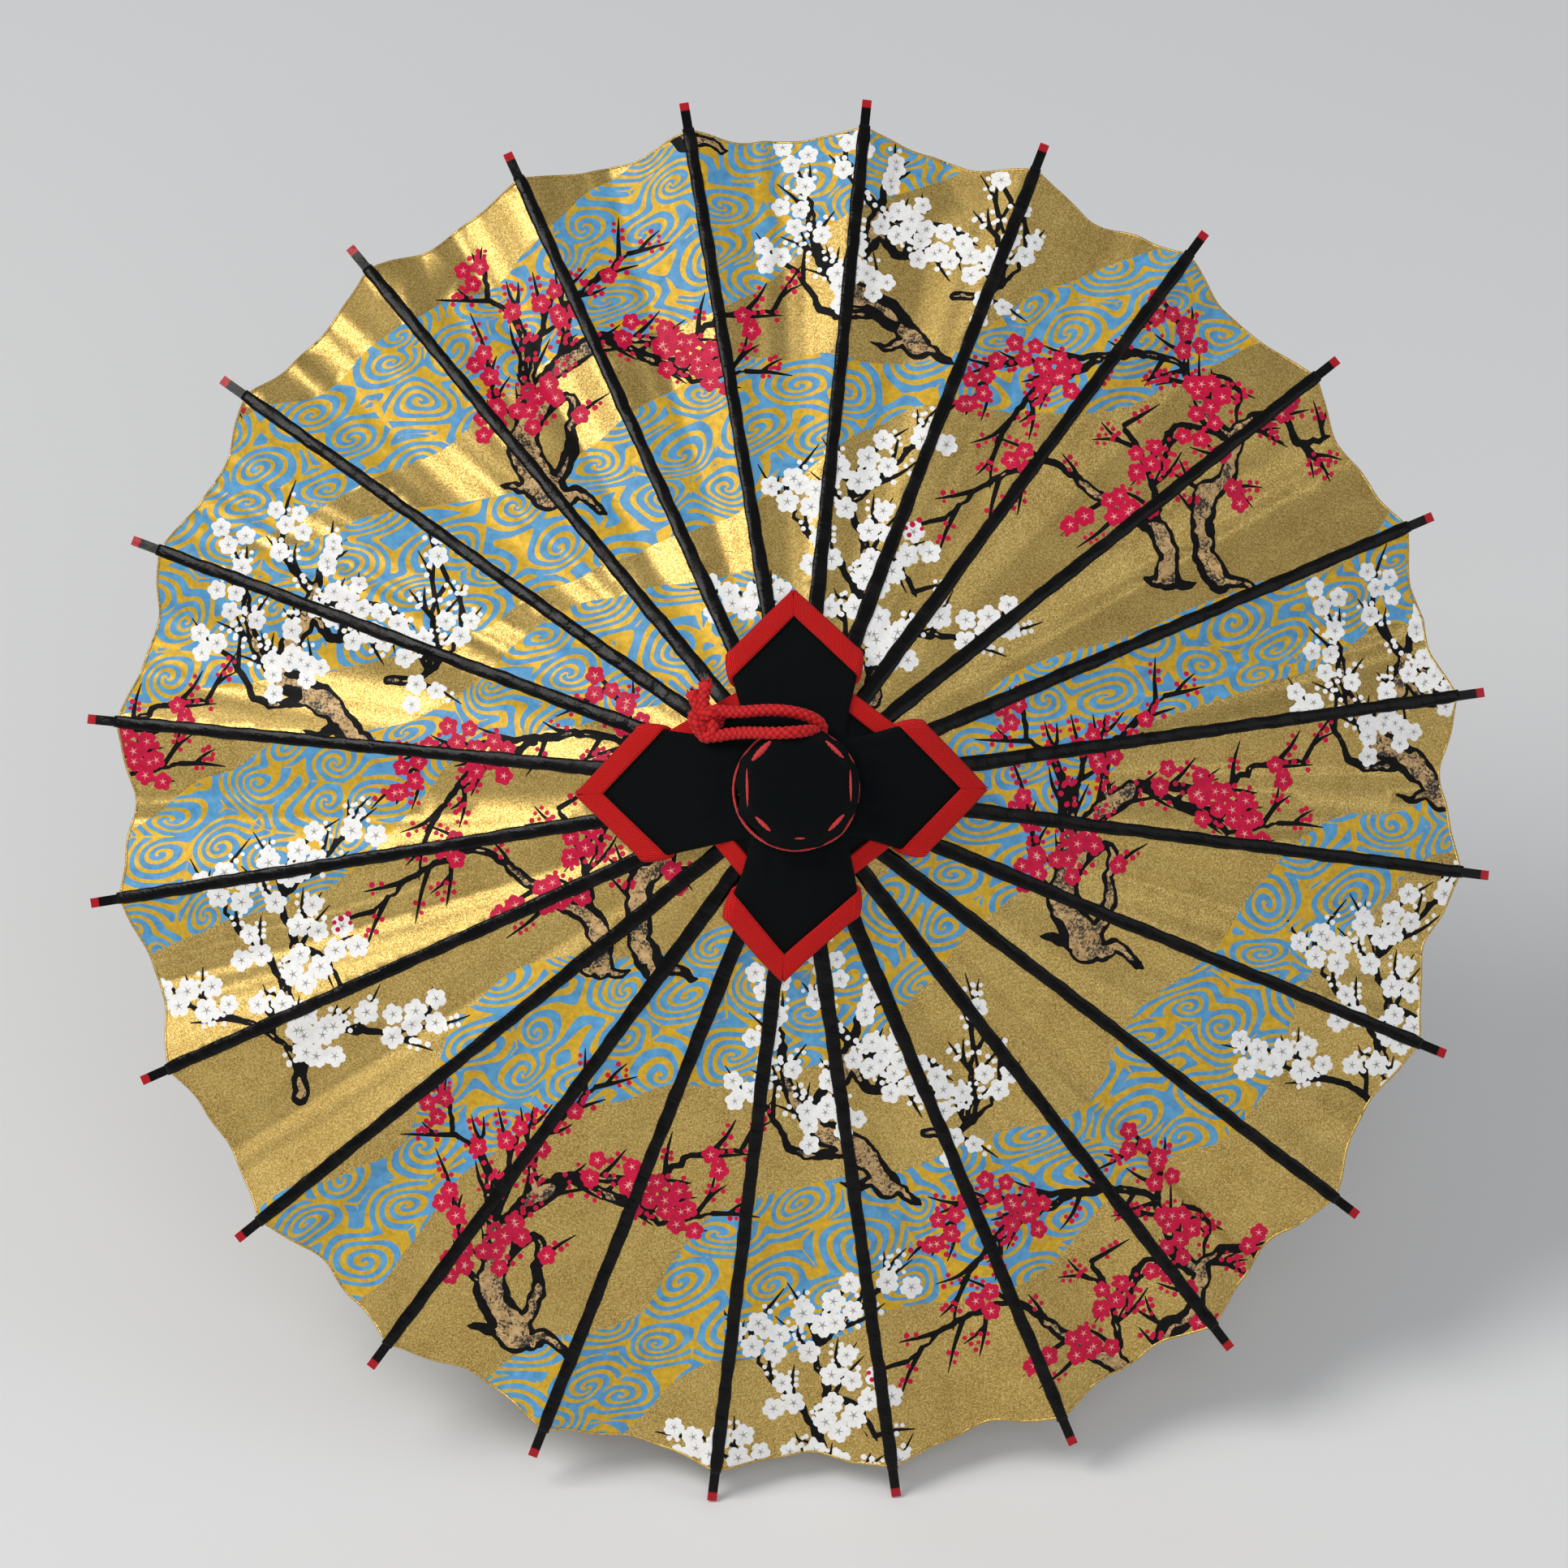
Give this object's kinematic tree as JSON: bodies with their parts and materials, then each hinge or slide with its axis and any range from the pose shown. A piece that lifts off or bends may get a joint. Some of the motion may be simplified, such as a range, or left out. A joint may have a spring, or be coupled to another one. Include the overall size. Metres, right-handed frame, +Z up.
{
  "type": "oil paper umbrella",
  "caption": "Small folding paper parasol with lacquered split-bamboo ribs, stretchers, a sliding runner, a tied cloth cap and a braided hanging loop, resting open on its handle end and rim.",
  "frame": {"origin": "on the table, below the middle of the umbrella's box as it rests", "axes": "+Z up from the table; +X to the right seen from the cap; the handle points towards +Y and down, the cap towards -Y and up"},
  "size_m": [0.2976, 0.2524, 0.2418],
  "materials": {
    "lacquered_bamboo": "gloss lacquer over split bamboo",
    "bare_bamboo": "satin split bamboo",
    "shaft_wood": "satin lacquer",
    "hub_wood": "satin lacquer, turned",
    "black_lacquer": "gloss lacquer",
    "rattan": "satin, wound strip",
    "thread": "waxed cotton",
    "spring_brass": "satin",
    "paper": "printed gold, blue, red and white, lightly oiled",
    "black_cloth": "plain weave, matte",
    "red_binding": "woven tape, matte",
    "red_cord": "braided, matte"
  },
  "bodies": {
    "root": {"shaft": "shaft_wood", "end_cap": "black_lacquer", "grip_wrap": "rattan", "head_hub": "hub_wood", "head_thread": "thread", "canopy": "paper", "cap_cloth": "black_cloth", "cap_trim": "red_binding", "hanging_cord": "red_cord"},
    "runner": {"runner": "hub_wood", "runner_thread": "thread"},
    "catch": {"catch": "spring_brass"},
    "rib_01": {"rib_01": "lacquered_bamboo"},
    "rib_02": {"rib_02": "lacquered_bamboo"},
    "rib_03": {"rib_03": "lacquered_bamboo"},
    "rib_04": {"rib_04": "lacquered_bamboo"},
    "rib_05": {"rib_05": "lacquered_bamboo"},
    "rib_06": {"rib_06": "lacquered_bamboo"},
    "rib_07": {"rib_07": "lacquered_bamboo"},
    "rib_08": {"rib_08": "lacquered_bamboo"},
    "rib_09": {"rib_09": "lacquered_bamboo"},
    "rib_10": {"rib_10": "lacquered_bamboo"},
    "rib_11": {"rib_11": "lacquered_bamboo"},
    "rib_12": {"rib_12": "lacquered_bamboo"},
    "rib_13": {"rib_13": "lacquered_bamboo"},
    "rib_14": {"rib_14": "lacquered_bamboo"},
    "rib_15": {"rib_15": "lacquered_bamboo"},
    "rib_16": {"rib_16": "lacquered_bamboo"},
    "rib_17": {"rib_17": "lacquered_bamboo"},
    "rib_18": {"rib_18": "lacquered_bamboo"},
    "rib_19": {"rib_19": "lacquered_bamboo"},
    "rib_20": {"rib_20": "lacquered_bamboo"},
    "rib_21": {"rib_21": "lacquered_bamboo"},
    "rib_22": {"rib_22": "lacquered_bamboo"},
    "rib_23": {"rib_23": "lacquered_bamboo"},
    "rib_24": {"rib_24": "lacquered_bamboo"},
    "stretcher_01": {"stretcher_01": "bare_bamboo"},
    "stretcher_02": {"stretcher_02": "bare_bamboo"},
    "stretcher_03": {"stretcher_03": "bare_bamboo"},
    "stretcher_04": {"stretcher_04": "bare_bamboo"},
    "stretcher_05": {"stretcher_05": "bare_bamboo"},
    "stretcher_06": {"stretcher_06": "bare_bamboo"},
    "stretcher_07": {"stretcher_07": "bare_bamboo"},
    "stretcher_08": {"stretcher_08": "bare_bamboo"},
    "stretcher_09": {"stretcher_09": "bare_bamboo"},
    "stretcher_10": {"stretcher_10": "bare_bamboo"},
    "stretcher_11": {"stretcher_11": "bare_bamboo"},
    "stretcher_12": {"stretcher_12": "bare_bamboo"},
    "stretcher_13": {"stretcher_13": "bare_bamboo"},
    "stretcher_14": {"stretcher_14": "bare_bamboo"},
    "stretcher_15": {"stretcher_15": "bare_bamboo"},
    "stretcher_16": {"stretcher_16": "bare_bamboo"},
    "stretcher_17": {"stretcher_17": "bare_bamboo"},
    "stretcher_18": {"stretcher_18": "bare_bamboo"},
    "stretcher_19": {"stretcher_19": "bare_bamboo"},
    "stretcher_20": {"stretcher_20": "bare_bamboo"},
    "stretcher_21": {"stretcher_21": "bare_bamboo"},
    "stretcher_22": {"stretcher_22": "bare_bamboo"},
    "stretcher_23": {"stretcher_23": "bare_bamboo"},
    "stretcher_24": {"stretcher_24": "bare_bamboo"}
  },
  "joints": [
    {"name": "runner_slide", "type": "slide", "parent": "root", "child": "runner", "axis": [0, 0.811, -0.5851], "range_m": [0, 0.0785], "deforming": ["canopy", "runner_thread", "catch"]},
    {"name": "catch_press", "type": "hinge", "parent": "root", "child": "catch", "pos_m": [0, 0.0067, 0.09074], "axis": [1, 0, 0], "range_deg": [0, 3.5], "stiffness_Nm_per_rad": 0.02, "springref_deg": -5.73},
    {"name": "rib_fold_01", "type": "hinge", "parent": "root", "child": "rib_01", "pos_m": [0.00892, -0.07852, 0.15095], "axis": [-0.1305, 0.5801, 0.804], "range_deg": [-1, 66]},
    {"name": "stretcher_fold_01", "type": "hinge", "parent": "rib_01", "child": "stretcher_01", "pos_m": [0.06482, -0.05757, 0.14492], "axis": [-0.1305, 0.5801, 0.804], "range_deg": [-132, 2]},
    {"name": "rib_fold_02", "type": "hinge", "parent": "root", "child": "rib_02", "pos_m": [0.00831, -0.07719, 0.15279], "axis": [-0.3827, 0.5405, 0.7492], "range_deg": [-1, 66]},
    {"name": "stretcher_fold_02", "type": "hinge", "parent": "rib_02", "child": "stretcher_02", "pos_m": [0.0604, -0.04792, 0.15829], "axis": [-0.3827, 0.5405, 0.7492], "range_deg": [-132, 2]},
    {"name": "rib_fold_03", "type": "hinge", "parent": "root", "child": "rib_03", "pos_m": [0.00714, -0.076, 0.15444], "axis": [-0.6088, 0.4642, 0.6434], "range_deg": [-1, 66]},
    {"name": "stretcher_fold_03", "type": "hinge", "parent": "rib_03", "child": "stretcher_03", "pos_m": [0.05187, -0.03928, 0.17027], "axis": [-0.6088, 0.4642, 0.6434], "range_deg": [-132, 2]},
    {"name": "rib_fold_04", "type": "hinge", "parent": "root", "child": "rib_04", "pos_m": [0.00548, -0.07503, 0.15579], "axis": [-0.7934, 0.3562, 0.4937], "range_deg": [-1, 66]},
    {"name": "stretcher_fold_04", "type": "hinge", "parent": "rib_04", "child": "stretcher_04", "pos_m": [0.0398, -0.03222, 0.18006], "axis": [-0.7934, 0.3562, 0.4937], "range_deg": [-132, 2]},
    {"name": "rib_fold_05", "type": "hinge", "parent": "root", "child": "rib_05", "pos_m": [0.00344, -0.07434, 0.15674], "axis": [-0.9239, 0.2239, 0.3103], "range_deg": [-1, 66]},
    {"name": "stretcher_fold_05", "type": "hinge", "parent": "rib_05", "child": "stretcher_05", "pos_m": [0.02502, -0.02722, 0.18698], "axis": [-0.9239, 0.2239, 0.3103], "range_deg": [-132, 2]},
    {"name": "rib_fold_06", "type": "hinge", "parent": "root", "child": "rib_06", "pos_m": [0.00117, -0.07399, 0.15724], "axis": [-0.9914, 0.0764, 0.1059], "range_deg": [-1, 66]},
    {"name": "stretcher_fold_06", "type": "hinge", "parent": "rib_06", "child": "stretcher_06", "pos_m": [0.00853, -0.02464, 0.19056], "axis": [-0.9914, 0.0764, 0.1059], "range_deg": [-132, 2]},
    {"name": "rib_fold_07", "type": "hinge", "parent": "root", "child": "rib_07", "pos_m": [-0.00117, -0.07399, 0.15724], "axis": [-0.9914, -0.0764, -0.1059], "range_deg": [-1, 66]},
    {"name": "stretcher_fold_07", "type": "hinge", "parent": "rib_07", "child": "stretcher_07", "pos_m": [-0.00853, -0.02464, 0.19056], "axis": [-0.9914, -0.0764, -0.1059], "range_deg": [-132, 2]},
    {"name": "rib_fold_08", "type": "hinge", "parent": "root", "child": "rib_08", "pos_m": [-0.00344, -0.07434, 0.15674], "axis": [-0.9239, -0.2239, -0.3103], "range_deg": [-1, 66]},
    {"name": "stretcher_fold_08", "type": "hinge", "parent": "rib_08", "child": "stretcher_08", "pos_m": [-0.02502, -0.02722, 0.18698], "axis": [-0.9239, -0.2239, -0.3103], "range_deg": [-132, 2]},
    {"name": "rib_fold_09", "type": "hinge", "parent": "root", "child": "rib_09", "pos_m": [-0.00548, -0.07503, 0.15579], "axis": [-0.7934, -0.3562, -0.4937], "range_deg": [-1, 66]},
    {"name": "stretcher_fold_09", "type": "hinge", "parent": "rib_09", "child": "stretcher_09", "pos_m": [-0.0398, -0.03222, 0.18006], "axis": [-0.7934, -0.3562, -0.4937], "range_deg": [-132, 2]},
    {"name": "rib_fold_10", "type": "hinge", "parent": "root", "child": "rib_10", "pos_m": [-0.00714, -0.076, 0.15444], "axis": [-0.6088, -0.4642, -0.6434], "range_deg": [-1, 66]},
    {"name": "stretcher_fold_10", "type": "hinge", "parent": "rib_10", "child": "stretcher_10", "pos_m": [-0.05187, -0.03928, 0.17027], "axis": [-0.6088, -0.4642, -0.6434], "range_deg": [-132, 2]},
    {"name": "rib_fold_11", "type": "hinge", "parent": "root", "child": "rib_11", "pos_m": [-0.00831, -0.07719, 0.15279], "axis": [-0.3827, -0.5405, -0.7492], "range_deg": [-1, 66]},
    {"name": "stretcher_fold_11", "type": "hinge", "parent": "rib_11", "child": "stretcher_11", "pos_m": [-0.0604, -0.04792, 0.15829], "axis": [-0.3827, -0.5405, -0.7492], "range_deg": [-132, 2]},
    {"name": "rib_fold_12", "type": "hinge", "parent": "root", "child": "rib_12", "pos_m": [-0.00892, -0.07852, 0.15095], "axis": [-0.1305, -0.5801, -0.804], "range_deg": [-1, 66]},
    {"name": "stretcher_fold_12", "type": "hinge", "parent": "rib_12", "child": "stretcher_12", "pos_m": [-0.06482, -0.05757, 0.14492], "axis": [-0.1305, -0.5801, -0.804], "range_deg": [-132, 2]},
    {"name": "rib_fold_13", "type": "hinge", "parent": "root", "child": "rib_13", "pos_m": [-0.00892, -0.07989, 0.14905], "axis": [0.1305, -0.5801, -0.804], "range_deg": [-1, 66]},
    {"name": "stretcher_fold_13", "type": "hinge", "parent": "rib_13", "child": "stretcher_13", "pos_m": [-0.06482, -0.06756, 0.13107], "axis": [0.1305, -0.5801, -0.804], "range_deg": [-132, 2]},
    {"name": "rib_fold_14", "type": "hinge", "parent": "root", "child": "rib_14", "pos_m": [-0.00831, -0.08122, 0.14721], "axis": [0.3827, -0.5405, -0.7492], "range_deg": [-1, 66]},
    {"name": "stretcher_fold_14", "type": "hinge", "parent": "rib_14", "child": "stretcher_14", "pos_m": [-0.0604, -0.0772, 0.1177], "axis": [0.3827, -0.5405, -0.7492], "range_deg": [-132, 2]},
    {"name": "rib_fold_15", "type": "hinge", "parent": "root", "child": "rib_15", "pos_m": [-0.00714, -0.08241, 0.14556], "axis": [0.6088, -0.4642, -0.6434], "range_deg": [-1, 66]},
    {"name": "stretcher_fold_15", "type": "hinge", "parent": "rib_15", "child": "stretcher_15", "pos_m": [-0.05187, -0.08585, 0.10572], "axis": [0.6088, -0.4642, -0.6434], "range_deg": [-132, 2]},
    {"name": "rib_fold_16", "type": "hinge", "parent": "root", "child": "rib_16", "pos_m": [-0.00548, -0.08338, 0.14421], "axis": [0.7934, -0.3562, -0.4937], "range_deg": [-1, 66]},
    {"name": "stretcher_fold_16", "type": "hinge", "parent": "rib_16", "child": "stretcher_16", "pos_m": [-0.0398, -0.09291, 0.09593], "axis": [0.7934, -0.3562, -0.4937], "range_deg": [-132, 2]},
    {"name": "rib_fold_17", "type": "hinge", "parent": "root", "child": "rib_17", "pos_m": [-0.00344, -0.08407, 0.14326], "axis": [0.9239, -0.2239, -0.3103], "range_deg": [-1, 66]},
    {"name": "stretcher_fold_17", "type": "hinge", "parent": "rib_17", "child": "stretcher_17", "pos_m": [-0.02502, -0.09791, 0.08901], "axis": [0.9239, -0.2239, -0.3103], "range_deg": [-132, 2]},
    {"name": "rib_fold_18", "type": "hinge", "parent": "root", "child": "rib_18", "pos_m": [-0.00117, -0.08443, 0.14277], "axis": [0.9914, -0.0764, -0.1059], "range_deg": [-1, 66]},
    {"name": "stretcher_fold_18", "type": "hinge", "parent": "rib_18", "child": "stretcher_18", "pos_m": [-0.00853, -0.10049, 0.08543], "axis": [0.9914, -0.0764, -0.1059], "range_deg": [-132, 2]},
    {"name": "rib_fold_19", "type": "hinge", "parent": "root", "child": "rib_19", "pos_m": [0.00117, -0.08443, 0.14277], "axis": [0.9914, 0.0764, 0.1059], "range_deg": [-1, 66]},
    {"name": "stretcher_fold_19", "type": "hinge", "parent": "rib_19", "child": "stretcher_19", "pos_m": [0.00853, -0.10049, 0.08543], "axis": [0.9914, 0.0764, 0.1059], "range_deg": [-132, 2]},
    {"name": "rib_fold_20", "type": "hinge", "parent": "root", "child": "rib_20", "pos_m": [0.00344, -0.08407, 0.14326], "axis": [0.9239, 0.2239, 0.3103], "range_deg": [-1, 66]},
    {"name": "stretcher_fold_20", "type": "hinge", "parent": "rib_20", "child": "stretcher_20", "pos_m": [0.02502, -0.09791, 0.08901], "axis": [0.9239, 0.2239, 0.3103], "range_deg": [-132, 2]},
    {"name": "rib_fold_21", "type": "hinge", "parent": "root", "child": "rib_21", "pos_m": [0.00548, -0.08338, 0.14421], "axis": [0.7934, 0.3562, 0.4937], "range_deg": [-1, 66]},
    {"name": "stretcher_fold_21", "type": "hinge", "parent": "rib_21", "child": "stretcher_21", "pos_m": [0.0398, -0.09291, 0.09593], "axis": [0.7934, 0.3562, 0.4937], "range_deg": [-132, 2]},
    {"name": "rib_fold_22", "type": "hinge", "parent": "root", "child": "rib_22", "pos_m": [0.00714, -0.08241, 0.14556], "axis": [0.6088, 0.4642, 0.6434], "range_deg": [-1, 66]},
    {"name": "stretcher_fold_22", "type": "hinge", "parent": "rib_22", "child": "stretcher_22", "pos_m": [0.05187, -0.08585, 0.10572], "axis": [0.6088, 0.4642, 0.6434], "range_deg": [-132, 2]},
    {"name": "rib_fold_23", "type": "hinge", "parent": "root", "child": "rib_23", "pos_m": [0.00831, -0.08122, 0.14721], "axis": [0.3827, 0.5405, 0.7492], "range_deg": [-1, 66]},
    {"name": "stretcher_fold_23", "type": "hinge", "parent": "rib_23", "child": "stretcher_23", "pos_m": [0.0604, -0.0772, 0.1177], "axis": [0.3827, 0.5405, 0.7492], "range_deg": [-132, 2]},
    {"name": "rib_fold_24", "type": "hinge", "parent": "root", "child": "rib_24", "pos_m": [0.00892, -0.07989, 0.14905], "axis": [0.1305, 0.5801, 0.804], "range_deg": [-1, 66]},
    {"name": "stretcher_fold_24", "type": "hinge", "parent": "rib_24", "child": "stretcher_24", "pos_m": [0.06482, -0.06756, 0.13107], "axis": [0.1305, 0.5801, 0.804], "range_deg": [-132, 2]}
  ],
  "couplings": [
    {"joint": "rib_fold_01", "follows": "runner_slide", "rad_per_m": 14.452},
    {"joint": "stretcher_fold_01", "follows": "runner_slide", "rad_per_m": -28.903},
    {"joint": "rib_fold_02", "follows": "runner_slide", "rad_per_m": 14.452},
    {"joint": "stretcher_fold_02", "follows": "runner_slide", "rad_per_m": -28.903},
    {"joint": "rib_fold_03", "follows": "runner_slide", "rad_per_m": 14.452},
    {"joint": "stretcher_fold_03", "follows": "runner_slide", "rad_per_m": -28.903},
    {"joint": "rib_fold_04", "follows": "runner_slide", "rad_per_m": 14.452},
    {"joint": "stretcher_fold_04", "follows": "runner_slide", "rad_per_m": -28.903},
    {"joint": "rib_fold_05", "follows": "runner_slide", "rad_per_m": 14.452},
    {"joint": "stretcher_fold_05", "follows": "runner_slide", "rad_per_m": -28.903},
    {"joint": "rib_fold_06", "follows": "runner_slide", "rad_per_m": 14.452},
    {"joint": "stretcher_fold_06", "follows": "runner_slide", "rad_per_m": -28.903},
    {"joint": "rib_fold_07", "follows": "runner_slide", "rad_per_m": 14.452},
    {"joint": "stretcher_fold_07", "follows": "runner_slide", "rad_per_m": -28.903},
    {"joint": "rib_fold_08", "follows": "runner_slide", "rad_per_m": 14.452},
    {"joint": "stretcher_fold_08", "follows": "runner_slide", "rad_per_m": -28.903},
    {"joint": "rib_fold_09", "follows": "runner_slide", "rad_per_m": 14.452},
    {"joint": "stretcher_fold_09", "follows": "runner_slide", "rad_per_m": -28.903},
    {"joint": "rib_fold_10", "follows": "runner_slide", "rad_per_m": 14.452},
    {"joint": "stretcher_fold_10", "follows": "runner_slide", "rad_per_m": -28.903},
    {"joint": "rib_fold_11", "follows": "runner_slide", "rad_per_m": 14.452},
    {"joint": "stretcher_fold_11", "follows": "runner_slide", "rad_per_m": -28.903},
    {"joint": "rib_fold_12", "follows": "runner_slide", "rad_per_m": 14.452},
    {"joint": "stretcher_fold_12", "follows": "runner_slide", "rad_per_m": -28.903},
    {"joint": "rib_fold_13", "follows": "runner_slide", "rad_per_m": 14.452},
    {"joint": "stretcher_fold_13", "follows": "runner_slide", "rad_per_m": -28.903},
    {"joint": "rib_fold_14", "follows": "runner_slide", "rad_per_m": 14.452},
    {"joint": "stretcher_fold_14", "follows": "runner_slide", "rad_per_m": -28.903},
    {"joint": "rib_fold_15", "follows": "runner_slide", "rad_per_m": 14.452},
    {"joint": "stretcher_fold_15", "follows": "runner_slide", "rad_per_m": -28.903},
    {"joint": "rib_fold_16", "follows": "runner_slide", "rad_per_m": 14.452},
    {"joint": "stretcher_fold_16", "follows": "runner_slide", "rad_per_m": -28.903},
    {"joint": "rib_fold_17", "follows": "runner_slide", "rad_per_m": 14.452},
    {"joint": "stretcher_fold_17", "follows": "runner_slide", "rad_per_m": -28.903},
    {"joint": "rib_fold_18", "follows": "runner_slide", "rad_per_m": 14.452},
    {"joint": "stretcher_fold_18", "follows": "runner_slide", "rad_per_m": -28.903},
    {"joint": "rib_fold_19", "follows": "runner_slide", "rad_per_m": 14.452},
    {"joint": "stretcher_fold_19", "follows": "runner_slide", "rad_per_m": -28.903},
    {"joint": "rib_fold_20", "follows": "runner_slide", "rad_per_m": 14.452},
    {"joint": "stretcher_fold_20", "follows": "runner_slide", "rad_per_m": -28.903},
    {"joint": "rib_fold_21", "follows": "runner_slide", "rad_per_m": 14.452},
    {"joint": "stretcher_fold_21", "follows": "runner_slide", "rad_per_m": -28.903},
    {"joint": "rib_fold_22", "follows": "runner_slide", "rad_per_m": 14.452},
    {"joint": "stretcher_fold_22", "follows": "runner_slide", "rad_per_m": -28.903},
    {"joint": "rib_fold_23", "follows": "runner_slide", "rad_per_m": 14.452},
    {"joint": "stretcher_fold_23", "follows": "runner_slide", "rad_per_m": -28.903},
    {"joint": "rib_fold_24", "follows": "runner_slide", "rad_per_m": 14.452},
    {"joint": "stretcher_fold_24", "follows": "runner_slide", "rad_per_m": -28.903}
  ]
}
